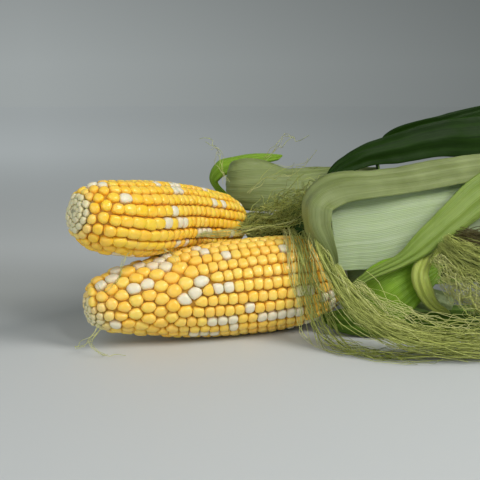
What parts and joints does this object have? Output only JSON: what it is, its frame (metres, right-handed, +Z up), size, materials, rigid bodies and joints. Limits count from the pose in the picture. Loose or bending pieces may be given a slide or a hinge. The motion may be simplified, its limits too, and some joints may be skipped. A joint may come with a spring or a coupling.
{
  "type": "sweet corn ears",
  "caption": "Fresh bicolour sweet corn ears lying one on the other, green husks pulled back and pale silk hanging loose.",
  "frame": {"origin": "the spot on the table where the belly of the front ear rests", "axes": "+X from the ears' tips towards the husk ends, +Y towards the back ear's side, +Z up from the table"},
  "size_m": [0.3125, 0.2089, 0.1221],
  "materials": {
    "kernels": "glossy, waxy yellow and cream kernels",
    "husk_pale": "satin, pale ribbed leaf",
    "husk_green": "satin, fresh green ribbed leaf",
    "husk_dark": "satin, dark green leaf",
    "shank": "satin green stalk",
    "silk": "soft pale green threads"
  },
  "bodies": {
    "root": {"front_ear": "kernels", "back_ear": "kernels", "front_shank": "shank", "back_shank": "shank", "front_hood_leaf": "husk_pale", "front_panel_leaf": "husk_pale", "front_rear_leaf": "husk_pale", "back_pale_leaf": "husk_pale", "front_dark_leaf": "husk_dark", "front_crest_leaf": "husk_dark", "front_right_leaf": "husk_dark", "back_shade_leaf": "husk_dark", "front_strip_leaf": "husk_green", "front_lower_leaf": "husk_green", "front_small_leaf": "husk_green", "front_under_leaf": "husk_green", "back_roll_leaf": "husk_green", "back_prop_leaf": "husk_green", "silk_bundle": "silk", "silk_bunch": "silk", "silk_back": "silk"}
  },
  "joints": []
}
